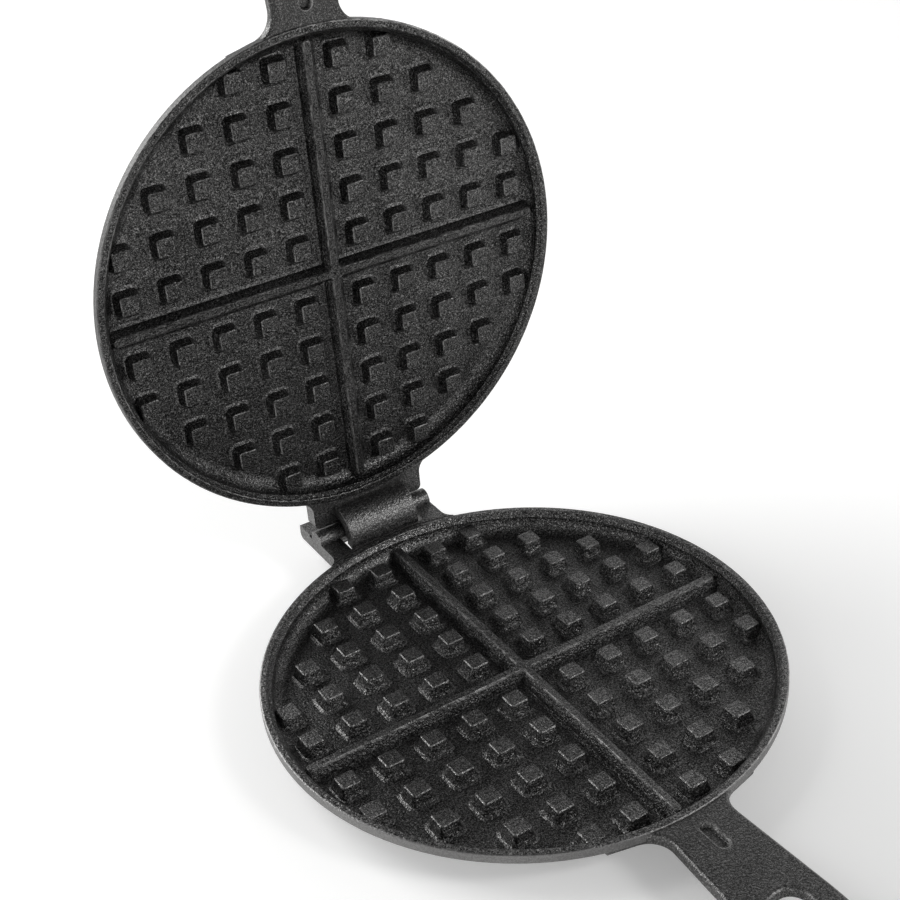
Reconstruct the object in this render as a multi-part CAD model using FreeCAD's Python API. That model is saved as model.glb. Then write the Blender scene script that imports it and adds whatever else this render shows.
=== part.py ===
import FreeCAD, Part
import math
import os

# A round two-plate waffle iron of cast iron, standing open. Two castings with studded cooking faces are
# joined by a lift-apart hinge: a hook on the upper casting goes round a bar on the lower one.
# X runs along the hinge, the lower handle points to -Y and +Z is up. The origin is the centre of the
# lower plate's resting face. Sizes are in millimetres and degrees.

# Cooking plates
PLATE_RADIUS = 95.0
PLATE_HEIGHT = 14.0         # resting face to parting plane
LAND_WIDTH = 3.1            # flat ring on which the two plates meet
LAND_GAP = 0.3              # air between the two rings when the iron is shut
BAND_HEIGHT = 3.6           # straight outer wall
UNDERSIDE_ANGLE = 34.6      # slope of the underside below that wall
FLOOR_DEPTH = 8.2           # parting plane to cooking floor
WALL_DEPTH = 2.4            # parting plane to the start of the hollow slope
WALL_DRAFT = 1.1
RIM_ROUND = 0.7
REST_ROUND = 2.0

# Studs and crossed ridges
STUD_PITCH = 17.0
STUD_OFFSET = 12.5          # first stud from the centre lines
STUD_TOP = 7.0
STUD_HEIGHT = 4.8
STUD_DRAFT = 0.8
STUD_FOOT_ROUND = 1.7
STUD_EDGE = 0.35
STUD_CORNER = 0.8
STUD_RIM_MARGIN = 7.0       # no stud centre lies nearer to the outer edge
RIDGE_TOP = 3.0
RIDGE_DRAFT = 1.5
RIDGE_CORNER = 1.3
RIDGE_RIM_MARGIN = 6.0
CROSSING_SIZE = 5.8         # across the flats that fill the corners where the ridges cross
RELIEF_SKIN = 1.2           # least wall left outside a stud or ridge

# Handles
HANDLE_LENGTH = 119.0       # rim to tip
HANDLE_NECK_WIDTH = 25.2
HANDLE_WIDTH = 31.6
HANDLE_SWELL = 50.0         # rim to full width
HANDLE_SWELL_ROUND = 120.0
HANDLE_STEP = 0.8           # parting plane to the handle's inner face
HANDLE_THICKNESS = 4.8
HANDLE_ROUND = 1.3
HANDLE_ROOT_ROUND = 9.0
HANDLE_TIP_ROUND = 14.5
SLOT_START = 40.5           # rim to the near end of the hanging slot
SLOT_NEAR_WIDTH = 13.0
SLOT_FAR_WIDTH = 16.0
SLOT_END_MARGIN = 7.5       # tip to the far end of the slot
SLOT_NEAR_ROUND = 5.6
SLOT_FAR_ROUND = 6.8
SLOT_EDGE = 1.7
MARK_START = 4.8            # rim to the pill-shaped hollow
MARK_LENGTH = 12.6
MARK_WIDTH = 4.8
MARK_DEPTH = 1.6
MARK_DRAFT = 0.9

# Hinge bar and bracket of the lower casting
BAR_RADIUS = 4.0
BRACKET_THICKNESS = 5.9
ARM_WIDTH = 8.7
LEDGE_REACH = 14.3          # bar axis to the rear face
LEDGE_GROOVE = 1.6          # width of the groove between bar and ledge
LEDGE_GROOVE_DEPTH = 1.0
BRACKET_ROOT_ROUND = 6.0
BRACKET_HEEL_ROUND = 2.4
BRACKET_EDGE = 0.5

# Hook, neck and stop of the upper casting
HOOK_WIDTH = 30.6
HOOK_PLAY = 2.8             # bar to the hook's inner face
HOOK_SIDE_PLAY = 1.5        # hook to the bracket's arms
HOOK_TIP_THICKNESS = 4.8
HOOK_ROOT_THICKNESS = 5.5
HOOK_TIP_TURN = 18.0        # tip past the point straight below the bar
HOOK_TO_RIM = 1.0
HOOK_EDGE = 0.6
NECK_STEP = 0.85            # parting plane to the neck's inner face
NECK_THICKNESS = 6.1
NECK_INSET = 0.9            # neck narrower than the bracket, each side
NECK_TO_BAR = 0.25
NECK_ROOT_ROUND = 6.0
NECK_CORNER = 2.3
NECK_HEEL_ROUND = 2.5
STOP_WIDTH = 28.0
STOP_THICKNESS = 5.4
STOP_ROOT = 9.0             # length of the stop along the neck
STOP_TO_BAR = 1.0
STOP_SEAT = 0.2             # air between stop and ledge when open
OPEN_ANGLE = 92.7

# Values that follow from the sizes above
HOOK_INNER = BAR_RADIUS + HOOK_PLAY
AXIS_Y = PLATE_RADIUS + HOOK_TO_RIM + HOOK_ROOT_THICKNESS + HOOK_INNER
SLOT_HALF = HOOK_WIDTH / 2 + HOOK_SIDE_PLAY
BRACKET_HALF = SLOT_HALF + ARM_WIDTH
NECK_HALF = BRACKET_HALF - NECK_INSET
NECK_END = AXIS_Y - BAR_RADIUS - NECK_TO_BAR
ROOT_DEPTH = 12.0           # how far a root reaches under the rim before it is trimmed
UP = FreeCAD.Vector(0, 0, 1)
ALONG_X = FreeCAD.Vector(1, 0, 0)
ALONG_Y = FreeCAD.Vector(0, 1, 0)


def vec(x, y, z=0.0):
    return FreeCAD.Vector(x, y, z)


def line(start, end):
    return Part.LineSegment(start, end).toShape()


def arc(start, middle, end):
    return Part.Arc(start, middle, end).toShape()


def closed_outline(corners, z=0.0):
    """Wire through corners (x, y, radius); each corner is rounded by its radius."""
    points = [vec(x, y, z) for x, y, radius in corners]
    count = len(corners)
    ends = []
    for index, point in enumerate(points):
        radius = corners[index][2]
        back = (points[index - 1] - point).normalize()
        ahead = (points[(index + 1) % count] - point).normalize()
        half_turn = back.getAngle(ahead) / 2
        reach = radius / math.tan(half_turn)
        inward = (back + ahead).normalize()
        middle = point + inward * (radius / math.sin(half_turn) - radius)
        ends.append((point + back * reach, middle, point + ahead * reach, radius))
    edges = []
    for index, (start, middle, end, radius) in enumerate(ends):
        following = ends[(index + 1) % count][0]
        if radius > 0:
            edges.append(arc(start, middle, end))
        if end.distanceToPoint(following) > 1e-6:
            edges.append(line(end, following))
    return Part.Wire(edges)


def slab(corners, z_low, z_high):
    face = Part.Face(closed_outline(corners, z_low))
    return face.extrude(vec(0, 0, z_high - z_low))


def block(x_half, y_low, y_high, z_low, z_high):
    corner = vec(-x_half, y_low, z_low)
    return Part.makeBox(2 * x_half, y_high - y_low, z_high - z_low, corner)


def level_edges(shape, z, y_low=-math.inf, y_high=math.inf, x_half=math.inf):
    """Edges in the plane of height z, within a range of Y and X."""
    found = []
    for edge in shape.Edges:
        box = edge.BoundBox
        level = abs(box.ZMin - z) < 1e-4 and abs(box.ZMax - z) < 1e-4
        within_y = box.YMin > y_low - 1e-3 and box.YMax < y_high + 1e-3
        within_x = box.XMin > -x_half - 1e-3 and box.XMax < x_half + 1e-3
        if level and within_y and within_x:
            found.append(edge)
    return found


# Plates, in their own frame: parting plane at z = 0, cooking face up, hinge towards +Y

def radial_arc(centre_r, centre_z, radius, start_angle, end_angle):
    """Arc in the plane of radius and height that is turned about Z."""
    points = []
    for angle in (start_angle, (start_angle + end_angle) / 2, end_angle):
        turn = math.radians(angle)
        points.append(vec(centre_r + radius * math.cos(turn), 0, centre_z + radius * math.sin(turn)))
    return arc(*points)


def underside_run():
    """How far the resting face stays inside the outer edge."""
    return (PLATE_HEIGHT - BAND_HEIGHT) / math.tan(math.radians(UNDERSIDE_ANGLE))


def plate_pan():
    """Dished round plate without its studs."""
    land_z = -LAND_GAP / 2
    land_inner = PLATE_RADIUS - LAND_WIDTH
    wall_foot = land_inner - WALL_DRAFT
    cove = FLOOR_DEPTH - WALL_DEPTH
    floor_edge = wall_foot - cove
    rest_edge = PLATE_RADIUS - underside_run()
    slope = math.radians(UNDERSIDE_ANGLE)
    rest_turn = REST_ROUND * math.tan(slope / 2)
    slope_end = vec(
        rest_edge + rest_turn * math.cos(slope),
        0,
        -PLATE_HEIGHT + rest_turn * math.sin(slope),
    )
    axis_top = vec(0, 0, -FLOOR_DEPTH)
    axis_bottom = vec(0, 0, -PLATE_HEIGHT)
    wall_top = vec(land_inner, 0, land_z - RIM_ROUND)
    wall_bottom = vec(wall_foot, 0, -WALL_DEPTH)
    floor_end = vec(floor_edge, 0, -FLOOR_DEPTH)
    land_start = vec(land_inner + RIM_ROUND, 0, land_z)
    land_end = vec(PLATE_RADIUS - RIM_ROUND, 0, land_z)
    band_top = vec(PLATE_RADIUS, 0, land_z - RIM_ROUND)
    band_bottom = vec(PLATE_RADIUS, 0, -BAND_HEIGHT)
    rest_start = vec(rest_edge - rest_turn, 0, -PLATE_HEIGHT)
    outline = [
        line(axis_top, floor_end),
        radial_arc(floor_edge, -WALL_DEPTH, cove, -90, 0),
        line(wall_bottom, wall_top),
        radial_arc(land_inner + RIM_ROUND, land_z - RIM_ROUND, RIM_ROUND, 180, 90),
        line(land_start, land_end),
        radial_arc(PLATE_RADIUS - RIM_ROUND, land_z - RIM_ROUND, RIM_ROUND, 90, 0),
        line(band_top, band_bottom),
        line(band_bottom, slope_end),
        radial_arc(rest_edge - rest_turn, -PLATE_HEIGHT + REST_ROUND, REST_ROUND, UNDERSIDE_ANGLE - 90, -90),
        line(rest_start, axis_bottom),
        line(axis_bottom, axis_top),
    ]
    face = Part.Face(Part.Wire(outline))
    return face.revolve(vec(0, 0, 0), UP, 360)


def plate_envelope():
    """Everything inside a plate's outer surface, and the space above its cooking face."""
    corners = [
        vec(0, 0, -PLATE_HEIGHT),
        vec(PLATE_RADIUS - underside_run(), 0, -PLATE_HEIGHT),
        vec(PLATE_RADIUS, 0, -BAND_HEIGHT),
        vec(PLATE_RADIUS, 0, PLATE_HEIGHT),
        vec(0, 0, PLATE_HEIGHT),
    ]
    face = Part.Face(Part.makePolygon(corners + corners[:1]))
    return face.revolve(vec(0, 0, 0), UP, 360)


def raised_block(half_x, half_y, draft, top_corner):
    """Stud or ridge on the cooking floor: drafted sides, rounded foot, broken top edge."""
    foot = STUD_FOOT_ROUND
    waist = foot * (1 - math.sqrt(0.5))
    steepness = waist / (foot - waist)
    levels = [
        (draft + foot + waist, -waist * steepness),
        (draft + waist, waist),
        (draft, foot),
        (0.0, STUD_HEIGHT - STUD_EDGE),
        (-STUD_EDGE, STUD_HEIGHT),
    ]
    wires = []
    for outset, z in levels:
        x = half_x + outset
        y = half_y + outset
        corner = top_corner + outset
        corners = [(x, y, corner), (-x, y, corner), (-x, -y, corner), (x, -y, corner)]
        wires.append(closed_outline(corners, z - FLOOR_DEPTH))
    return Part.makeLoft(wires, True, True)


def stud_places():
    """Centres of all studs, the same in the four quarters."""
    limit = PLATE_RADIUS - STUD_RIM_MARGIN
    steps = int(limit / STUD_PITCH) + 1
    places = []
    for column in range(steps):
        for row in range(steps):
            x = STUD_OFFSET + column * STUD_PITCH
            y = STUD_OFFSET + row * STUD_PITCH
            if math.hypot(x, y) < limit:
                places += [(x, y), (-x, y), (-x, -y), (x, -y)]
    return places


def inner_bowl():
    """Space inside the plate's sloping wall, a skin short of the underside."""
    bottom = -FLOOR_DEPTH - RELIEF_SKIN
    top = -FLOOR_DEPTH + STUD_HEIGHT + RELIEF_SKIN
    steepness = math.tan(math.radians(UNDERSIDE_ANGLE))
    bottom_radius = PLATE_RADIUS - RELIEF_SKIN + (bottom + BAND_HEIGHT) / steepness
    top_radius = PLATE_RADIUS - RELIEF_SKIN + (top + BAND_HEIGHT) / steepness
    return Part.makeCone(bottom_radius, top_radius, top - bottom, vec(0, 0, bottom))


def plate():
    """One plate with its studs and crossed ridges."""
    bowl = inner_bowl()
    ridge_half = PLATE_RADIUS - RIDGE_RIM_MARGIN
    stud = raised_block(STUD_TOP / 2, STUD_TOP / 2, STUD_DRAFT, STUD_CORNER)
    relief = []
    for x, y in stud_places():
        placed = stud.translated(vec(x, y))
        near_rim = math.hypot(x, y) + STUD_TOP + 2 * STUD_FOOT_ROUND > PLATE_RADIUS - FLOOR_DEPTH
        relief.append(placed.common(bowl) if near_rim else placed)
    relief.append(raised_block(ridge_half, RIDGE_TOP / 2, RIDGE_DRAFT, RIDGE_CORNER).common(bowl))
    relief.append(raised_block(RIDGE_TOP / 2, ridge_half, RIDGE_DRAFT, RIDGE_CORNER).common(bowl))
    crossing = raised_block(CROSSING_SIZE / 2, CROSSING_SIZE / 2, RIDGE_DRAFT, STUD_CORNER)
    crossing.rotate(vec(0, 0, 0), UP, 45)
    relief.append(crossing)
    return plate_pan().fuse(relief)


# Flat pieces that grow out of the rim, drawn towards +Y

def root_corners(half_width, root_round):
    """Right-hand corners of a root: inside the plate, on the rim, and where the side leaves the rim."""
    side_y = math.sqrt(PLATE_RADIUS ** 2 - half_width ** 2)
    rim_x = half_width + 2 * root_round
    rim_y = math.sqrt(PLATE_RADIUS ** 2 - rim_x ** 2)
    return [(rim_x, rim_y - ROOT_DEPTH, 0), (rim_x, rim_y, 0), (half_width, side_y, root_round)]


def mirrored(corners):
    """Right-hand corners followed by the same on the left."""
    return corners + [(-x, y, radius) for x, y, radius in reversed(corners)]


def handle(envelope):
    """Flat handle with a hanging slot and a shallow pill-shaped hollow near the rim, towards -Y."""
    top = -HANDLE_STEP
    bottom = top - HANDLE_THICKNESS
    tip = PLATE_RADIUS + HANDLE_LENGTH
    outline = root_corners(HANDLE_NECK_WIDTH / 2, HANDLE_ROOT_ROUND)
    outline.append((HANDLE_WIDTH / 2, PLATE_RADIUS + HANDLE_SWELL, HANDLE_SWELL_ROUND))
    outline.append((HANDLE_WIDTH / 2, tip, HANDLE_TIP_ROUND))
    body = slab(mirrored(outline), bottom, top)
    near = PLATE_RADIUS + SLOT_START
    far = tip - SLOT_END_MARGIN
    slot = [(SLOT_NEAR_WIDTH / 2, near, SLOT_NEAR_ROUND), (SLOT_FAR_WIDTH / 2, far, SLOT_FAR_ROUND)]
    body = body.cut(slab(mirrored(slot), bottom - 1, top + 1))
    for z in (top, bottom):
        body = body.makeFillet(SLOT_EDGE, level_edges(body, z, near, far, SLOT_FAR_WIDTH / 2))
    outer = [edge for z in (top, bottom) for edge in level_edges(body, z)
             if edge.BoundBox.YMax > far + SLOT_EDGE or edge.BoundBox.YMin < near - SLOT_EDGE
             or max(-edge.BoundBox.XMin, edge.BoundBox.XMax) > SLOT_FAR_WIDTH / 2 + SLOT_EDGE + 1e-3]
    body = body.makeFillet(HANDLE_ROUND, outer)
    mark_near = PLATE_RADIUS + MARK_START
    wires = []
    for outset, z in ((MARK_DRAFT, top + MARK_DEPTH), (-MARK_DRAFT, top - MARK_DEPTH)):
        half = MARK_WIDTH / 2 + outset
        ends = [(half, mark_near - outset, half), (half, mark_near + MARK_LENGTH + outset, half)]
        wires.append(closed_outline(mirrored(ends), z))
    body = body.cut(Part.makeLoft(wires, True, True)).cut(envelope)
    body.rotate(vec(0, 0, 0), UP, 180)
    return body


# Hinge of the lower casting

def hinge_bar():
    """Round bar on the parting plane, as long as the bracket is wide."""
    return Part.makeCylinder(BAR_RADIUS, 2 * BRACKET_HALF, vec(-BRACKET_HALF, AXIS_Y, 0), ALONG_X)


def hinge_bracket(bar, envelope):
    """Two arms, a rear ledge and a web along the rim, round the opening that the hook passes through."""
    top = -LAND_GAP / 2
    bottom = top - BRACKET_THICKNESS
    rear = AXIS_Y + LEDGE_REACH
    outline = root_corners(BRACKET_HALF, BRACKET_ROOT_ROUND)
    outline.append((BRACKET_HALF, rear, 0))
    body = slab(mirrored(outline), bottom, top)
    body = body.makeFillet(BRACKET_HEEL_ROUND, level_edges(body, bottom, rear, rear))
    body = body.makeFillet(BRACKET_EDGE, level_edges(body, top, rear, rear))
    opening = block(SLOT_HALF, PLATE_RADIUS + HOOK_TO_RIM / 2, AXIS_Y, bottom - 1, top + 1)
    groove_rear = AXIS_Y + BAR_RADIUS + LEDGE_GROOVE
    groove = block(BRACKET_HALF + 1, AXIS_Y, groove_rear, top - LEDGE_GROOVE_DEPTH, top + 1)
    return body.cut([opening, groove, bar, envelope])


# Hinge of the upper casting, in a plate's own frame

def hinge_neck(envelope):
    """Flat neck behind the rim, ending just before the bar."""
    top = -NECK_STEP
    bottom = top - NECK_THICKNESS
    outline = root_corners(NECK_HALF, NECK_ROOT_ROUND)
    outline.append((NECK_HALF, NECK_END, NECK_CORNER))
    body = slab(mirrored(outline), bottom, top)
    heel_y = NECK_END - NECK_HEEL_ROUND
    heel_z = bottom + NECK_HEEL_ROUND
    heel = Part.makeCylinder(NECK_HEEL_ROUND, 4 * NECK_HALF, vec(-2 * NECK_HALF, heel_y, heel_z), ALONG_X)
    sharp = block(NECK_HALF + 1, heel_y, NECK_END + 1, bottom - 1, heel_z)
    return body.cut(sharp.cut(heel)).cut(envelope)


def hinge_hook():
    """Curled hook that stands on the neck and goes round under the bar, thicker at its root."""
    tip_radius = HOOK_INNER + HOOK_TIP_THICKNESS
    root_radius = HOOK_INNER + HOOK_ROOT_THICKNESS
    tip_turn = math.radians(90 - HOOK_TIP_TURN)

    def ring_point(radius, turn):
        return vec(0, AXIS_Y + radius * math.cos(turn), radius * math.sin(turn))

    def root_point(radius):
        return vec(0, AXIS_Y - math.sqrt(radius ** 2 - NECK_STEP ** 2), -NECK_STEP)

    middle_turn = (math.pi + tip_turn) / 2
    outer_middle = ring_point((tip_radius + root_radius) / 2, middle_turn)
    inner_middle = ring_point(HOOK_INNER, middle_turn)
    profile = Part.Wire([
        arc(root_point(root_radius), outer_middle, ring_point(tip_radius, tip_turn)),
        line(ring_point(tip_radius, tip_turn), ring_point(HOOK_INNER, tip_turn)),
        arc(ring_point(HOOK_INNER, tip_turn), inner_middle, root_point(HOOK_INNER)),
        line(root_point(HOOK_INNER), root_point(root_radius)),
    ])
    body = Part.Face(profile).translated(vec(-HOOK_WIDTH / 2, 0, 0)).extrude(vec(HOOK_WIDTH, 0, 0))
    free_edges = [edge for edge in body.Edges if edge.BoundBox.ZMax > NECK_STEP]
    return body.makeFillet(HOOK_EDGE, free_edges)


def lid_stop(neck):
    """Lug on the back of the neck, before its seat is cut to the ledge."""
    inner_z = -BAR_RADIUS - STOP_TO_BAR
    outer_z = inner_z - STOP_THICKNESS
    back_z = -NECK_STEP - NECK_THICKNESS
    start_y = NECK_END - STOP_ROOT
    body = block(STOP_WIDTH / 2, start_y, AXIS_Y + STOP_ROOT, outer_z, inner_z)
    body = body.makeFillet(NECK_HEEL_ROUND, level_edges(body, outer_z, start_y, start_y))
    covered = block(STOP_WIDTH, start_y - 1, NECK_END - NECK_HEEL_ROUND, back_z, 0)
    return body.cut([covered, neck])


# Placing

def on_lower(shape):
    """Parting plane to its height above the resting face."""
    return shape.translated(vec(0, 0, PLATE_HEIGHT))


def on_upper(shape):
    """Turned over on to the lower half, then opened about the bar."""
    placed = shape.copy()
    placed.rotate(vec(0, 0, 0), ALONG_Y, 180)
    placed.translate(vec(0, 0, PLATE_HEIGHT))
    placed.rotate(vec(0, AXIS_Y, PLATE_HEIGHT), ALONG_X, -OPEN_ANGLE)
    return placed


def seated_stop(neck):
    """The stop in its open place, cut flat just above the ledge."""
    seat = PLATE_HEIGHT - LAND_GAP / 2 + STOP_SEAT
    below = block(STOP_WIDTH, 0, 2 * AXIS_Y, seat - 4 * PLATE_HEIGHT, seat)
    return on_upper(lid_stop(neck)).cut(below)


def build():
    whole_plate = plate()
    envelope = plate_envelope()
    whole_handle = handle(envelope)
    bar = hinge_bar()
    neck = hinge_neck(envelope)
    return {
        "lower_plate": on_lower(whole_plate),
        "lower_handle": on_lower(whole_handle),
        "hinge_bracket": on_lower(hinge_bracket(bar, envelope)),
        "hinge_bar": on_lower(bar),
        "upper_plate": on_upper(whole_plate),
        "upper_handle": on_upper(whole_handle),
        "hinge_neck": on_upper(neck),
        "hinge_hook": on_upper(hinge_hook()),
        "lid_stop": seated_stop(neck),
    }


os.makedirs("parts", exist_ok=True)
for name, shape in build().items():
    shape = shape.Solids[0] if len(shape.Solids) == 1 else shape
    box = shape.BoundBox
    print(f"{name}: {len(shape.Solids)} solid, valid {shape.isValid()}, {shape.Volume / 1000:.2f} cm3, "
          f"y {box.YMin:.1f} to {box.YMax:.1f}, z {box.ZMin:.1f} to {box.ZMax:.1f}")
    shape.exportStep(f"parts/{name}.step")
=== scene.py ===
import math

import bpy
from mathutils import Matrix, Vector

# A round cast-iron waffle iron, standing open. Lengths are in metres.

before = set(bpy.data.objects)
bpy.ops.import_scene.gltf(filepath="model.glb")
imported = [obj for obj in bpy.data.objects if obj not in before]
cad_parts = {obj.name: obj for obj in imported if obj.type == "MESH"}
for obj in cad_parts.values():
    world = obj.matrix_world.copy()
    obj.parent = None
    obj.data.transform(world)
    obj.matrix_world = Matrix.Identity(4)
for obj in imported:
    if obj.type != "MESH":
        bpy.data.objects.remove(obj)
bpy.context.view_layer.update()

# Camera, fitted to the photograph
CAMERA_PLACE = (-0.25088, -0.38214, 0.40104)
CAMERA_TURN = (56.9198, 1.9844, -34.4976)
CAMERA_LENS = 65.86
CAMERA_SHIFT = -0.07        # the photograph is cut from the left of a wider frame

# Surface
GRAIN_SIZE = 0.00038        # sand grains printed in the cast skin
GRAIN_HEIGHT = 0.0003
SWELL_SIZE = 0.02           # slow unevenness of the casting
SWELL_HEIGHT = 0.0005
EDGE_ROUND = 0.0006
RIM_BAND = 0.0942           # radius beyond which a plate's outer wall is smoother, and painted paler as painted light
RIDGE_END = 0.088           # radius at which the crossed ridges stop
RIM_RIGHT_HIGHLIGHT = 3.2              # its outer edge is rubbed paler, and painted paler still towards the right as a painted highlight

# Where the castings stand
HINGE = Vector((0.0, 0.1083, 0.014))
OPEN_ANGLE = 92.7
PLATE_CENTRE = Vector((0.0, 0.0, 0.014))
MARK_CENTRE = Vector((0.0, -0.1061, 0.014))    # pill-shaped hollow in each handle
MARK_STRAIGHT = 0.0078
MARK_WIDTH = 0.0048

# Light
BACK_STRENGTH = 1.0         # white sweep behind the object
FRONT_STRENGTH = 0.8        # dimmer room on the camera's side
ZENITH_SHARE = 0.12
CORNER_GLOW = 0.12          # floor's own light, seen by the camera and in reflections only
NEAR_GLOW = 0.31
FAR_GLOW = 0.46
CORNER = Vector((0.03, -0.17, 0.0))            # least lit place: the floor's painted glow is weakest here, a painted shade beside the lower handle


def add_node(tree, kind, **settings):
    """New shader node with plain settings."""
    node = tree.nodes.new(kind)
    for key, value in settings.items():
        setattr(node, key, value)
    return node


def feed(tree, socket, value):
    """Link a socket to another, or set it to a number or a colour."""
    if isinstance(value, bpy.types.NodeSocket):
        tree.links.new(value, socket)
    else:
        socket.default_value = value


def maths(tree, operation, first, second=0.0, clamp=False):
    node = add_node(tree, "ShaderNodeMath", operation=operation, use_clamp=clamp)
    feed(tree, node.inputs[0], first)
    feed(tree, node.inputs[1], second)
    return node.outputs[0]


def ramp(tree, value, low, high, out_low=0.0, out_high=1.0):
    """Value taken smoothly from low..high to out_low..out_high."""
    node = add_node(tree, "ShaderNodeMapRange", interpolation_type="SMOOTHSTEP")
    feed(tree, node.inputs["Value"], value)
    node.inputs["From Min"].default_value = low
    node.inputs["From Max"].default_value = high
    node.inputs["To Min"].default_value = out_low
    node.inputs["To Max"].default_value = out_high
    return node.outputs["Result"]


def noise(tree, place, size, detail=3.0, roughness=0.55):
    node = add_node(tree, "ShaderNodeTexNoise")
    feed(tree, node.inputs["Vector"], place)
    node.inputs["Scale"].default_value = 1 / size
    node.inputs["Detail"].default_value = detail
    node.inputs["Roughness"].default_value = roughness
    return node.outputs[0]


def blend(tree, amount, first, second):
    node = add_node(tree, "ShaderNodeMix", data_type="RGBA")
    feed(tree, node.inputs[0], amount)
    feed(tree, node.inputs[6], first)
    feed(tree, node.inputs[7], second)
    return node.outputs[2]


def bump(tree, height, distance, strength, normal):
    node = add_node(tree, "ShaderNodeBump")
    feed(tree, node.inputs["Height"], height)
    feed(tree, node.inputs["Normal"], normal)
    node.inputs["Distance"].default_value = distance
    node.inputs["Strength"].default_value = strength
    return node.outputs[0]


def grey(level, warmth=0.0):
    return (level * (1 + warmth), level, level * (1 - warmth), 1.0)


def worn_and_highlit_edges(tree, reach):
    """Mask that is 1 along outer and inner edges, which are painted paler for rubbed wear and painted highlights
    together.
    """
    soft = add_node(tree, "ShaderNodeBevel", samples=4)
    soft.inputs["Radius"].default_value = reach
    plain = add_node(tree, "ShaderNodeNewGeometry")
    product = add_node(tree, "ShaderNodeVectorMath", operation="DOT_PRODUCT")
    tree.links.new(soft.outputs[0], product.inputs[0])
    tree.links.new(plain.outputs["Normal"], product.inputs[1])
    return ramp(tree, product.outputs["Value"], 0.97, 0.80)


def facing(tree, axis):
    """How far the surface faces along an axis of its own casting, -1 to 1."""
    product = add_node(tree, "ShaderNodeVectorMath", operation="DOT_PRODUCT")
    tree.links.new(add_node(tree, "ShaderNodeTexCoord").outputs["Normal"], product.inputs[0])
    product.inputs[1].default_value = axis
    return product.outputs["Value"]


def worn_and_highlit_rounds(tree, toward):
    """Mask that is 1 on the outer rounds between a casting's top faces and its sides, which are painted paler for
    rubbed wear and painted highlights together.
    """
    turned = maths(tree, "MULTIPLY", ramp(tree, toward, 0.60, 0.70), ramp(tree, toward, 0.98, 0.92))
    sharp = add_node(tree, "ShaderNodeNewGeometry").outputs["Pointiness"]
    return maths(tree, "MULTIPLY", turned, ramp(tree, sharp, 0.50, 0.53))


def along(tree, place, centre, axis):
    """Distance from a centre, measured along an axis."""
    reach = add_node(tree, "ShaderNodeVectorMath", operation="SUBTRACT")
    tree.links.new(place, reach.inputs[0])
    reach.inputs[1].default_value = centre
    product = add_node(tree, "ShaderNodeVectorMath", operation="DOT_PRODUCT")
    tree.links.new(reach.outputs[0], product.inputs[0])
    product.inputs[1].default_value = axis
    return product.outputs["Value"]


def off_cross(tree, place, centre, axis):
    """Distance to the middle line of the nearer of a plate's two crossed ridges."""
    side = Vector((1.0, 0.0, 0.0))
    first = maths(tree, "ABSOLUTE", along(tree, place, centre, side))
    second = maths(tree, "ABSOLUTE", along(tree, place, centre, side.cross(axis)))
    return maths(tree, "MINIMUM", first, second)


def outline(tree, place, centre, axis):
    """Mask that is 1 on the edge of the pill-shaped hollow in a handle."""
    side = Vector((1.0, 0.0, 0.0))
    across = along(tree, place, centre, side)
    length = maths(tree, "ABSOLUTE", along(tree, place, centre, side.cross(axis)))
    beyond = maths(tree, "MAXIMUM", maths(tree, "SUBTRACT", length, MARK_STRAIGHT / 2), 0.0)
    square = maths(tree, "ADD", maths(tree, "POWER", beyond, 2.0), maths(tree, "MULTIPLY", across, across))
    off = maths(tree, "ABSOLUTE", maths(tree, "SUBTRACT", maths(tree, "SQRT", square), MARK_WIDTH / 2))
    return ramp(tree, off, 0.0006, 0.0003)


def outside(tree, place, centre, radius):
    """Mask that is 1 further than a radius from a centre."""
    gap = add_node(tree, "ShaderNodeVectorMath", operation="DISTANCE")
    tree.links.new(place, gap.inputs[0])
    gap.inputs[1].default_value = centre
    return ramp(tree, gap.outputs["Value"], radius, radius + 0.0006)


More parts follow.
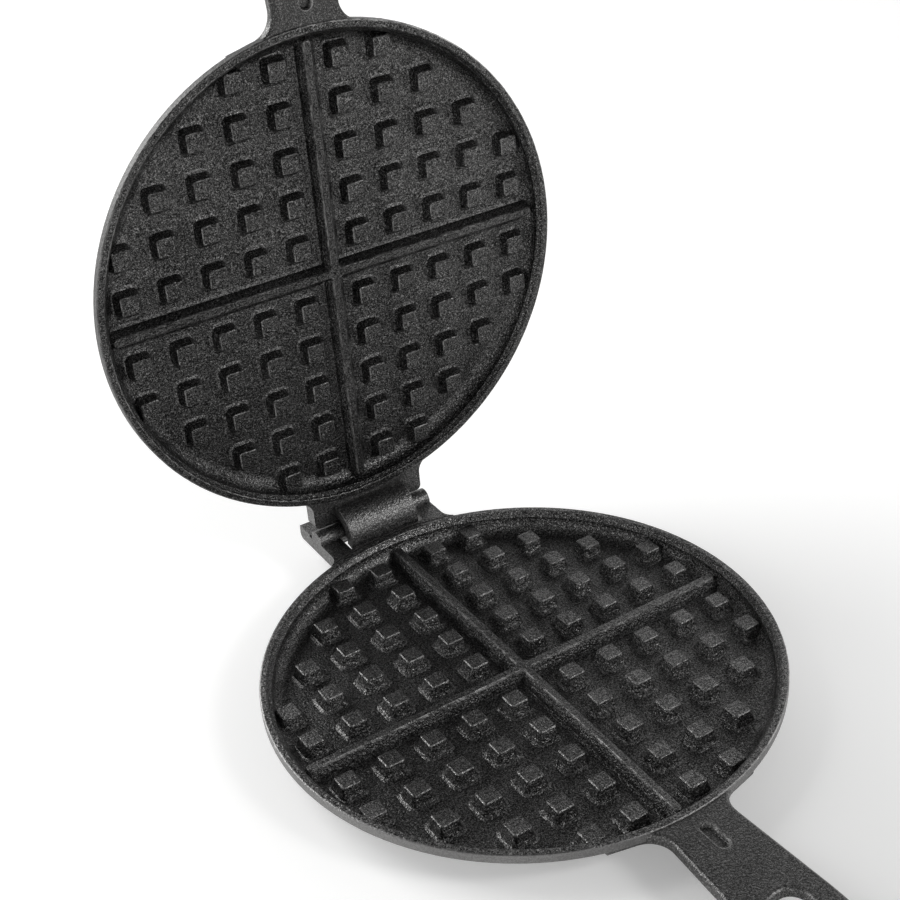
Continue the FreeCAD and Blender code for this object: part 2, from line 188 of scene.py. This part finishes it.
def iron(name, tone, grain, wear_and_highlight, axis=None, centre=None, painted_top_light=1.0, flank_shade=1.0, wall_light_and_shade=1.0,
         mark=None):
    """Seasoned cast iron: dark skin, grained by the sand mould, paler where its edges are rubbed and where
    highlights are painted on them, with painted light and shade on some faces.
    """
    material = bpy.data.materials.new(name)
    material.use_nodes = True
    tree = material.node_tree
    tree.nodes.clear()
    place = add_node(tree, "ShaderNodeTexCoord").outputs["Object"]
    fine = noise(tree, place, GRAIN_SIZE, detail=1.0)
    coarse = noise(tree, place, 2.2 * GRAIN_SIZE, detail=1.0)
    skin = maths(tree, "ADD", maths(tree, "MULTIPLY", fine, 0.9), maths(tree, "MULTIPLY", coarse, 0.4))
    slow = noise(tree, place, SWELL_SIZE)
    patch = noise(tree, place, 0.045, detail=4.0)
    base = ramp(tree, patch, 0.35, 0.68, tone * 0.85, tone * 1.15)
    pits = ramp(tree, skin, 0.50, 0.78, 1 - 0.8 * grain, 1 + 0.8 * grain)
    specks = ramp(tree, skin, 0.74, 0.86, 0.0, 0.20 * grain)
    if axis is not None:
        toward = facing(tree, axis)
        # Specks are dimmed to 0.8 on flat faces and raised to 1.8 on steep drafted sides: painted light where the
        # sides face the lamps.
        side_light = ramp(tree, maths(tree, "ABSOLUTE", toward), 0.95, 0.5, 0.8, 1.8)
        specks = maths(tree, "MULTIPLY", specks, side_light)
    if centre is not None:
        gap = off_cross(tree, place, centre, axis)
        beside = maths(tree, "MAXIMUM", ramp(tree, gap, 0.0042, 0.0058), outside(tree, place, centre, RIDGE_END))
        raised = ramp(tree, along(tree, place, centre, axis), -0.0046, -0.0041)
        beside = maths(tree, "MAXIMUM", beside, ramp(tree, toward, 0.05, -0.05))
        flat = ramp(tree, toward, 0.95, 0.99)
        specks = maths(tree, "MULTIPLY", specks, ramp(tree, beside, 0.0, 1.0, 0.35, 1.0))
        # Raised flat tops get this factor, 1.5 on the lower plate: painted light on the tops.
        lit_tops = ramp(tree, maths(tree, "MULTIPLY", raised, flat), 0.0, 1.0, 1.0, painted_top_light)
        base = maths(tree, "MULTIPLY", base, lit_tops)
        # Ridge flanks, near a ridge and neither flat nor turned away, are darkened by flank_shade, 0.55 on the
        # lower plate: painted shade.
        flank = maths(tree, "MAXIMUM", beside, flat)
        base = maths(tree, "MULTIPLY", base, ramp(tree, flank, 0.0, 1.0, flank_shade, 1.0))
        # A thin line along each ridge's top edges is painted paler through the edge mask: rubbed wear and painted
        # highlight together.
        line = maths(tree, "MULTIPLY", ramp(tree, gap, 0.0012, 0.0015), ramp(tree, gap, 0.0023, 0.0019))
        line = maths(tree, "MULTIPLY", line, raised)
        line = maths(tree, "MULTIPLY", line, maths(tree, "SUBTRACT", 1.0, outside(tree, place, centre, RIDGE_END)))
    rough_level = maths(tree, "ADD", maths(tree, "MULTIPLY", base, pits), specks)
    if centre is not None:
        # Beyond RIM_BAND the outer wall has no grain pits and is painted 1.8 to 2.6 times paler, scaled by
        # wall_light_and_shade: paler on the lower plate as painted light, darker on the lid as painted shade.
        band = outside(tree, place, centre, RIM_BAND)
        smooth_lit_wall_level = maths(tree, "MULTIPLY", base, ramp(tree, skin, 0.5, 0.8, 1.8 * wall_light_and_shade, 2.6 * wall_light_and_shade))
        keep = maths(tree, "MULTIPLY", rough_level, maths(tree, "SUBTRACT", 1.0, band))
        level = maths(tree, "ADD", keep, maths(tree, "MULTIPLY", smooth_lit_wall_level, band))
    else:
        level = rough_level
    if axis is None:
        edge = worn_and_highlit_edges(tree, EDGE_ROUND)
    else:
        edge = worn_and_highlit_rounds(tree, toward)
    if centre is not None:
        rim_edge = maths(tree, "MULTIPLY", ramp(tree, toward, 0.15, 0.35), ramp(tree, toward, 0.995, 0.97))
        edge = maths(tree, "MAXIMUM", edge, maths(tree, "MULTIPLY", rim_edge, band))
        edge = maths(tree, "MAXIMUM", edge, line)
    # The rim of the pill-shaped hollow is painted paler through the edge mask: a painted highlight standing in for
    # the lit wall of the hollow.
    if mark is not None:
        pill = maths(tree, "MULTIPLY", outline(tree, place, mark, axis), ramp(tree, toward, 0.1, 0.3))
        edge = maths(tree, "MAXIMUM", edge, pill)
    chips = maths(tree, "ADD", noise(tree, place, 0.005), maths(tree, "MULTIPLY", fine, 0.8))
    rub_and_highlight = maths(tree, "MULTIPLY", edge, ramp(tree, chips, 0.72, 1.08, 0.2 * wear_and_highlight, wear_and_highlight))
    # On the plates the rim's outer edge is made 0.8 to RIM_RIGHT_HIGHLIGHT times paler from left to right: a
    # painted highlight on the right.
    if centre is not None:
        right_highlight = ramp(tree, along(tree, place, centre, Vector((1.0, 0.0, 0.0))), -0.02, 0.08, 0.8, RIM_RIGHT_HIGHLIGHT)
        right_highlight_gain = maths(tree, "MULTIPLY", band, maths(tree, "SUBTRACT", right_highlight, 1.0))
        rub_and_highlight = maths(tree, "MULTIPLY", rub_and_highlight, maths(tree, "ADD", right_highlight_gain, 1.0))
    # Masked edges, rounds and lines are painted paler, up to 0.42: rubbed wear and painted highlights together.
    level = maths(tree, "MAXIMUM", level, maths(tree, "MULTIPLY", rub_and_highlight, 0.42))
    rough = ramp(tree, patch, 0.3, 0.7, 0.34, 0.42)
    rough = maths(tree, "ADD", rough, maths(tree, "MULTIPLY", fine, 0.08))
    plain = add_node(tree, "ShaderNodeNewGeometry").outputs["Normal"]
    uneven = bump(tree, slow, SWELL_HEIGHT, 0.6, plain)
    relief = maths(tree, "ADD", maths(tree, "MULTIPLY", fine, 0.3), coarse)
    pitted = bump(tree, relief, GRAIN_HEIGHT * grain, 1.0, uneven)
    shader = add_node(tree, "ShaderNodeBsdfPrincipled")
    feed(tree, shader.inputs["Base Color"], blend(tree, level, grey(0.0), grey(1.0, 0.01)))
    feed(tree, shader.inputs["Roughness"], rough)
    feed(tree, shader.inputs["Normal"], pitted)
    shader.inputs["Metallic"].default_value = 1.0
    out = add_node(tree, "ShaderNodeOutputMaterial")
    tree.links.new(shader.outputs[0], out.inputs["Surface"])
    return material


def dress(node_names, material):
    for name in node_names:
        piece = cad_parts[name]
        for slot in piece.material_slots:
            slot.material = material


def floor_material():
    """Pale ground that stays white where no shadow falls on it, by a painted glow seen by the camera and in
    reflections; the glow is weakest near CORNER, a painted shade beside the lower handle.
    """
    material = bpy.data.materials.new("studio_floor")
    material.use_nodes = True
    tree = material.node_tree
    tree.nodes.clear()
    shader = add_node(tree, "ShaderNodeBsdfPrincipled")
    shader.inputs["Base Color"].default_value = (0.86, 0.86, 0.855, 1.0)
    shader.inputs["Roughness"].default_value = 0.6
    shader.inputs["Emission Color"].default_value = (1.0, 1.0, 1.0, 1.0)
    seen = add_node(tree, "ShaderNodeLightPath")
    shown = maths(tree, "MAXIMUM", seen.outputs["Is Camera Ray"], seen.outputs["Is Glossy Ray"])
    shown = maths(tree, "MAXIMUM", shown, seen.outputs["Is Transmission Ray"])
    place = add_node(tree, "ShaderNodeTexCoord").outputs["Object"]
    gap = add_node(tree, "ShaderNodeVectorMath", operation="DISTANCE")
    tree.links.new(place, gap.inputs[0])
    gap.inputs[1].default_value = CORNER
    # Painted light and shade: the glow is CORNER_GLOW at CORNER, NEAR_GLOW from 0.15 m away and FAR_GLOW far off.
    glow = ramp(tree, gap.outputs["Value"], 0.0, 0.15, CORNER_GLOW, NEAR_GLOW)
    glow = maths(tree, "ADD", glow, ramp(tree, gap.outputs["Value"], 0.8, 2.5, 0.0, FAR_GLOW - NEAR_GLOW))
    feed(tree, shader.inputs["Emission Strength"], maths(tree, "MULTIPLY", shown, glow))
    out = add_node(tree, "ShaderNodeOutputMaterial")
    tree.links.new(shader.outputs[0], out.inputs["Surface"])
    return material


def floor():
    size = 40.0
    mesh = bpy.data.meshes.new("studio_floor")
    corners = [(-size, -size, 0), (size, -size, 0), (size, size, 0), (-size, size, 0)]
    mesh.from_pydata(corners, [], [(0, 1, 2, 3)])
    ground = bpy.data.objects.new("studio_floor", mesh)
    bpy.context.scene.collection.objects.link(ground)
    mesh.materials.append(floor_material())


def soft_light(name, place, aim, size, power):
    """Square area light at place, turned to aim."""
    data = bpy.data.lights.new(name, "AREA")
    data.shape = "SQUARE"
    data.size = size
    data.energy = power
    lamp = bpy.data.objects.new(name, data)
    bpy.context.scene.collection.objects.link(lamp)
    lamp.location = place
    direction = Vector(aim) - Vector(place)
    lamp.rotation_euler = direction.to_track_quat("-Z", "Y").to_euler()


def sky():
    world = bpy.data.worlds.new("studio")
    bpy.context.scene.world = world
    world.use_nodes = True
    tree = world.node_tree
    tree.nodes.clear()
    shade = add_node(tree, "ShaderNodeBackground")
    shade.inputs["Color"].default_value = (1.0, 1.0, 1.0, 1.0)
    parts = add_node(tree, "ShaderNodeSeparateXYZ")
    tree.links.new(add_node(tree, "ShaderNodeTexCoord").outputs["Generated"], parts.inputs[0])
    rise = ramp(tree, parts.outputs["Z"], 0.40, 0.85, 1.0, ZENITH_SHARE)
    depth = ramp(tree, parts.outputs["Y"], -0.5, 0.3, FRONT_STRENGTH, BACK_STRENGTH)
    feed(tree, shade.inputs["Strength"], maths(tree, "MULTIPLY", rise, depth))
    out = add_node(tree, "ShaderNodeOutputWorld")
    tree.links.new(shade.outputs[0], out.inputs["Surface"])


def camera():
    data = bpy.data.cameras.new("camera")
    data.lens = CAMERA_LENS
    data.shift_x = CAMERA_SHIFT
    data.sensor_width = 36.0
    data.clip_start = 0.01
    eye = bpy.data.objects.new("camera", data)
    eye.location = CAMERA_PLACE
    eye.rotation_euler = [math.radians(turn) for turn in CAMERA_TURN]
    bpy.context.scene.collection.objects.link(eye)
    bpy.context.scene.camera = eye


camera()
bpy.context.scene.view_settings.view_transform = "Standard"
sky()
floor()
soft_light("back_window", (-0.75, 1.45, 0.9), (0.0, 0.0, 0.0), 1.2, 26.0)
soft_light("right_window", (0.8, -1.0, 0.9), (0.0, 0.05, 0.05), 0.4, 6.0)

opening = Matrix.Rotation(-math.radians(OPEN_ANGLE), 3, "X")
lid_axis = opening @ Vector((0.0, 0.0, -1.0))
lid_centre = HINGE + opening @ (PLATE_CENTRE - HINGE)
lid_mark = HINGE + opening @ (MARK_CENTRE - HINGE)
up = Vector((0.0, 0.0, 1.0))
# One seasoned cast iron throughout; the tones differ by part to match how lit each looks: the lid and its handle
# are painted darker, as painted shade, and the lower handle and the hinge paler, as painted light.
dress(["lower_plate"], iron("lower_plate_iron", 0.083, 1.0, 0.42, up, PLATE_CENTRE, 1.5, 0.55, 1.15))
dress(["upper_plate"], iron("upper_plate_iron", 0.059, 1.0, 0.55, lid_axis, lid_centre, wall_light_and_shade=0.6))
dress(["lower_handle"], iron("lower_handle_iron", 0.105, 0.6, 0.8, up, mark=MARK_CENTRE))
dress(["upper_handle"], iron("upper_handle_iron", 0.068, 0.6, 0.6, lid_axis, mark=lid_mark))
dress(["hinge_bracket", "hinge_bar", "hinge_neck", "hinge_hook", "lid_stop"],
      iron("hinge_iron", 0.12, 0.7, 0.6))
